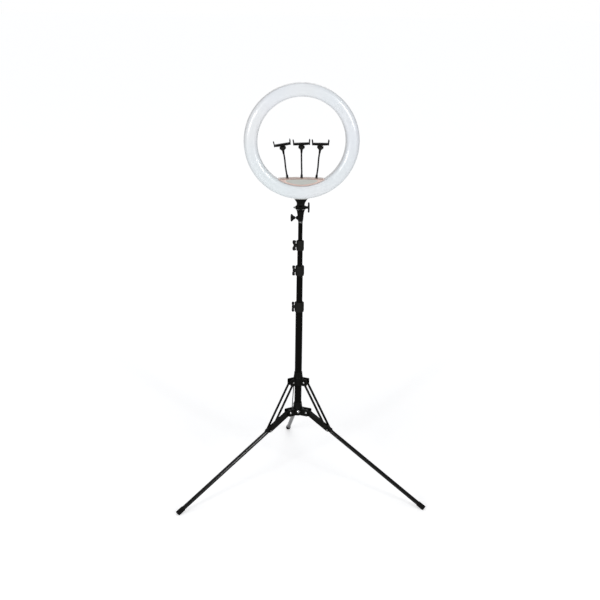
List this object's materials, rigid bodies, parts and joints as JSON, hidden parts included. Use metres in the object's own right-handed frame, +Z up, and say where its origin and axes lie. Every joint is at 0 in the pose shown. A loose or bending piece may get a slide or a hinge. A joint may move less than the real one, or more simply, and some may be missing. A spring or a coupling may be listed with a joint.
{
  "type": "ring light",
  "caption": "Ring-shaped studio light with an opal front, phone holders on goosenecks inside the ring, a tilting yoke and a telescoping column on a folding tripod.",
  "frame": {"origin": "centre of the flat underside of the column, on the column axis, 325 mm above the floor", "axes": "+Z up along the column; the lamp faces -Y; +X to the right seen from the front; one leg points to +Y, the rear"},
  "size_m": [1.0726, 0.9317, 1.7825],
  "materials": {
    "opal_diffuser": "satin opal, crowned, faint clear-coat sheen",
    "white_housing": "satin moulded white",
    "circuit_board": "solder mask",
    "rose_gold": "satin rose gold paint",
    "silver_plate": "brushed silver, blank",
    "bright_metal": "polished",
    "black_tube": "gloss black coat with a faint long grain",
    "black_strut": "satin black coat, worn at the edges",
    "clamp_plastic": "fine moulded texture",
    "black_plastic": "satin moulded black",
    "flexible_neck": "ribbed black sleeve",
    "rubber": "matte moulded rubber"
  },
  "bodies": {
    "stand": {"base_hub": "black_plastic", "column_end_cap": "rubber", "hub_screw": "bright_metal", "column_tube_4": "black_tube", "section_clamp_3": "clamp_plastic"},
    "section_3": {"column_tube_3": "black_tube", "section_clamp_2": "clamp_plastic"},
    "section_2": {"column_tube_2": "black_tube", "section_clamp_1": "clamp_plastic"},
    "section_1": {"column_tube_1": "black_tube", "spigot": "bright_metal"},
    "wing_knob_3": {"wing_knob_3": "clamp_plastic"},
    "wing_knob_2": {"wing_knob_2": "clamp_plastic"},
    "wing_knob_1": {"wing_knob_1": "clamp_plastic"},
    "leg_collar": {"leg_collar": "black_plastic"},
    "collar_lock_knob": {"collar_lock_knob": "black_plastic"},
    "socket": {"socket_body": "black_plastic"},
    "socket_knob": {"socket_knob": "black_plastic"},
    "head": {"yoke_bracket": "black_plastic", "tilt_nut": "bright_metal", "rear_housing": "white_housing", "diffuser_ring": "opal_diffuser", "led_board": "circuit_board", "control_box_cover": "white_housing", "driver_board": "circuit_board", "dc_jack": "black_plastic", "holder_bracket": "rose_gold", "label_plate": "silver_plate", "gooseneck_left": "flexible_neck", "gooseneck_centre": "flexible_neck", "gooseneck_right": "flexible_neck"},
    "tilt_handle": {"tilt_handle": "black_plastic"},
    "brightness_knob": {"brightness_knob": "black_plastic"},
    "colour_temperature_knob": {"colour_temperature_knob": "black_plastic"},
    "power_switch": {"power_switch": "black_plastic"},
    "leg_rear": {"leg_channel_rear": "black_tube", "leg_tube_rear": "black_tube", "foot_cap_rear": "rubber"},
    "strut_rear": {"strut_rear_a": "black_strut", "strut_rear_b": "black_strut"},
    "leg_left": {"leg_channel_left": "black_tube", "leg_tube_left": "black_tube", "foot_cap_left": "rubber"},
    "strut_left": {"strut_left_a": "black_strut", "strut_left_b": "black_strut"},
    "leg_right": {"leg_channel_right": "black_tube", "leg_tube_right": "black_tube", "foot_cap_right": "rubber"},
    "strut_right": {"strut_right_a": "black_strut", "strut_right_b": "black_strut"},
    "ball_lock_nut_left": {"ball_lock_nut_left": "clamp_plastic"},
    "phone_clamp_left": {"clamp_body_left": "black_plastic"},
    "clamp_jaw_left": {"clamp_jaw_left": "black_plastic"},
    "ball_lock_nut_centre": {"ball_lock_nut_centre": "clamp_plastic"},
    "phone_clamp_centre": {"clamp_body_centre": "black_plastic"},
    "clamp_jaw_centre": {"clamp_jaw_centre": "black_plastic"},
    "ball_lock_nut_right": {"ball_lock_nut_right": "clamp_plastic"},
    "phone_clamp_right": {"clamp_body_right": "black_plastic"},
    "clamp_jaw_right": {"clamp_jaw_right": "black_plastic"}
  },
  "joints": [
    {"name": "section_3_slide", "type": "slide", "parent": "stand", "child": "section_3", "axis": [0, 0, 1], "range_m": [-0.115, 0.26], "stiffness_N_per_m": 15000},
    {"name": "section_2_slide", "type": "slide", "parent": "section_3", "child": "section_2", "axis": [0, 0, 1], "range_m": [-0.062, 0.3], "stiffness_N_per_m": 15000},
    {"name": "section_1_slide", "type": "slide", "parent": "section_2", "child": "section_1", "axis": [0, 0, 1], "range_m": [-0.072, 0.33], "stiffness_N_per_m": 15000},
    {"name": "wing_knob_3_turn", "type": "hinge", "parent": "stand", "child": "wing_knob_3", "pos_m": [-0.02, 0, 0.5005], "axis": [-1, 0, 0], "range_deg": [-180, 180]},
    {"name": "wing_knob_2_turn", "type": "hinge", "parent": "section_3", "child": "wing_knob_2", "pos_m": [-0.02, 0, 0.6625], "axis": [-1, 0, 0], "range_deg": [-180, 180]},
    {"name": "wing_knob_1_turn", "type": "hinge", "parent": "section_2", "child": "wing_knob_1", "pos_m": [-0.02, 0, 0.773], "axis": [-1, 0, 0], "range_deg": [-180, 180]},
    {"name": "leg_fold", "type": "hinge", "parent": "stand", "child": "leg_rear", "pos_m": [0, 0.047, 0.021], "axis": [1, 0, 0], "range_deg": [0, 121.22], "stiffness_Nm_per_rad": 6000},
    {"name": "leg_left_fold", "type": "hinge", "parent": "stand", "child": "leg_left", "pos_m": [-0.0407, -0.0235, 0.021], "axis": [-0.5, 0.866, 0], "range_deg": [-1, 122.22], "stiffness_Nm_per_rad": 6000},
    {"name": "leg_right_fold", "type": "hinge", "parent": "stand", "child": "leg_right", "pos_m": [0.0407, -0.0235, 0.021], "axis": [-0.5, -0.866, 0], "range_deg": [-1, 122.22], "stiffness_Nm_per_rad": 6000},
    {"name": "collar_slide", "type": "slide", "parent": "stand", "child": "leg_collar", "axis": [0, 0, 1], "range_m": [-0.002, 0.21657]},
    {"name": "strut_rear_swing", "type": "hinge", "parent": "leg_collar", "child": "strut_rear", "pos_m": [0, 0.034, 0.16], "axis": [-1, 0, 0], "range_deg": [-1, 27.8]},
    {"name": "strut_left_swing", "type": "hinge", "parent": "leg_collar", "child": "strut_left", "pos_m": [-0.02944, -0.017, 0.16], "axis": [0.5, -0.866, 0], "range_deg": [-1, 27.8]},
    {"name": "strut_right_swing", "type": "hinge", "parent": "leg_collar", "child": "strut_right", "pos_m": [0.02944, -0.017, 0.16], "axis": [0.5, 0.866, 0], "range_deg": [-1, 27.8]},
    {"name": "collar_lock_turn", "type": "hinge", "parent": "leg_collar", "child": "collar_lock_knob", "pos_m": [0.02165, 0.0125, 0.15], "axis": [0.866, 0.5, 0], "range_deg": [-180, 180]},
    {"name": "head_pan", "type": "hinge", "parent": "section_1", "child": "socket", "pos_m": [0, 0, 0.893], "axis": [0, 0, 1], "range_deg": [-180, 180]},
    {"name": "socket_knob_turn", "type": "hinge", "parent": "socket", "child": "socket_knob", "pos_m": [-0.02, 0, 0.893], "axis": [-1, 0, 0], "range_deg": [-180, 180]},
    {"name": "head_tilt", "type": "hinge", "parent": "socket", "child": "head", "pos_m": [0, 0, 0.937], "axis": [1, 0, 0], "range_deg": [-90, 90], "stiffness_Nm_per_rad": 20},
    {"name": "tilt_handle_turn", "type": "hinge", "parent": "head", "child": "tilt_handle", "pos_m": [0.02, 0, 0.937], "axis": [1, 0, 0], "range_deg": [-180, 180]},
    {"name": "brightness_turn", "type": "hinge", "parent": "head", "child": "brightness_knob", "pos_m": [-0.034, 0.046, 1.006], "axis": [0, 1, 0], "range_deg": [-150, 150]},
    {"name": "colour_temperature_turn", "type": "hinge", "parent": "head", "child": "colour_temperature_knob", "pos_m": [-0.01, 0.046, 1.006], "axis": [0, 1, 0], "range_deg": [-150, 150]},
    {"name": "power_rocker", "type": "hinge", "parent": "head", "child": "power_switch", "pos_m": [0.015, 0.0455, 1.006], "axis": [1, 0, 0], "range_deg": [0, 14]},
    {"name": "holder_left_pan", "type": "hinge", "parent": "head", "child": "ball_lock_nut_left", "pos_m": [-0.0769, -0.009, 1.18], "axis": [-0.1613, 0, 0.9869], "range_deg": [-180, 180]},
    {"name": "holder_left_tilt", "type": "hinge", "parent": "ball_lock_nut_left", "child": "phone_clamp_left", "pos_m": [-0.07946, -0.009, 1.19569], "axis": [0.986, 0, 0.1668], "range_deg": [-13, 13]},
    {"name": "jaw_left_slide", "type": "slide", "parent": "phone_clamp_left", "child": "clamp_jaw_left", "axis": [-0.986, 0, -0.1668], "range_m": [0, 0.024], "stiffness_N_per_m": 150, "springref_m": -0.01},
    {"name": "holder_centre_pan", "type": "hinge", "parent": "head", "child": "ball_lock_nut_centre", "pos_m": [0.0013, 0.0135, 1.18], "axis": [0, 0, 1], "range_deg": [-180, 180]},
    {"name": "holder_centre_tilt", "type": "hinge", "parent": "ball_lock_nut_centre", "child": "phone_clamp_centre", "pos_m": [0.0013, 0.0135, 1.1959], "axis": [0.9993, 0, 0.0384], "range_deg": [-13, 13]},
    {"name": "jaw_centre_slide", "type": "slide", "parent": "phone_clamp_centre", "child": "clamp_jaw_centre", "axis": [0.9993, 0, 0.0384], "range_m": [0, 0.024], "stiffness_N_per_m": 150, "springref_m": -0.01},
    {"name": "holder_right_pan", "type": "hinge", "parent": "head", "child": "ball_lock_nut_right", "pos_m": [0.0765, -0.009, 1.1827], "axis": [0.109, 0, 0.994], "range_deg": [-180, 180]},
    {"name": "holder_right_tilt", "type": "hinge", "parent": "ball_lock_nut_right", "child": "phone_clamp_right", "pos_m": [0.07823, -0.009, 1.1985], "axis": [1, 0, -0.007], "range_deg": [-13, 13]},
    {"name": "jaw_right_slide", "type": "slide", "parent": "phone_clamp_right", "child": "clamp_jaw_right", "axis": [1, 0, -0.007], "range_m": [0, 0.024], "stiffness_N_per_m": 150, "springref_m": -0.01}
  ],
  "couplings": [
    {"joint": "leg_left_fold", "follows": "leg_fold", "ratio": 1},
    {"joint": "leg_right_fold", "follows": "leg_fold", "ratio": 1},
    {"joint": "collar_slide", "follows": "leg_fold", "m_per_rad": 0.10142},
    {"joint": "strut_rear_swing", "follows": "leg_fold", "ratio": 0.22111},
    {"joint": "strut_left_swing", "follows": "leg_fold", "ratio": 0.22111},
    {"joint": "strut_right_swing", "follows": "leg_fold", "ratio": 0.22111}
  ]
}
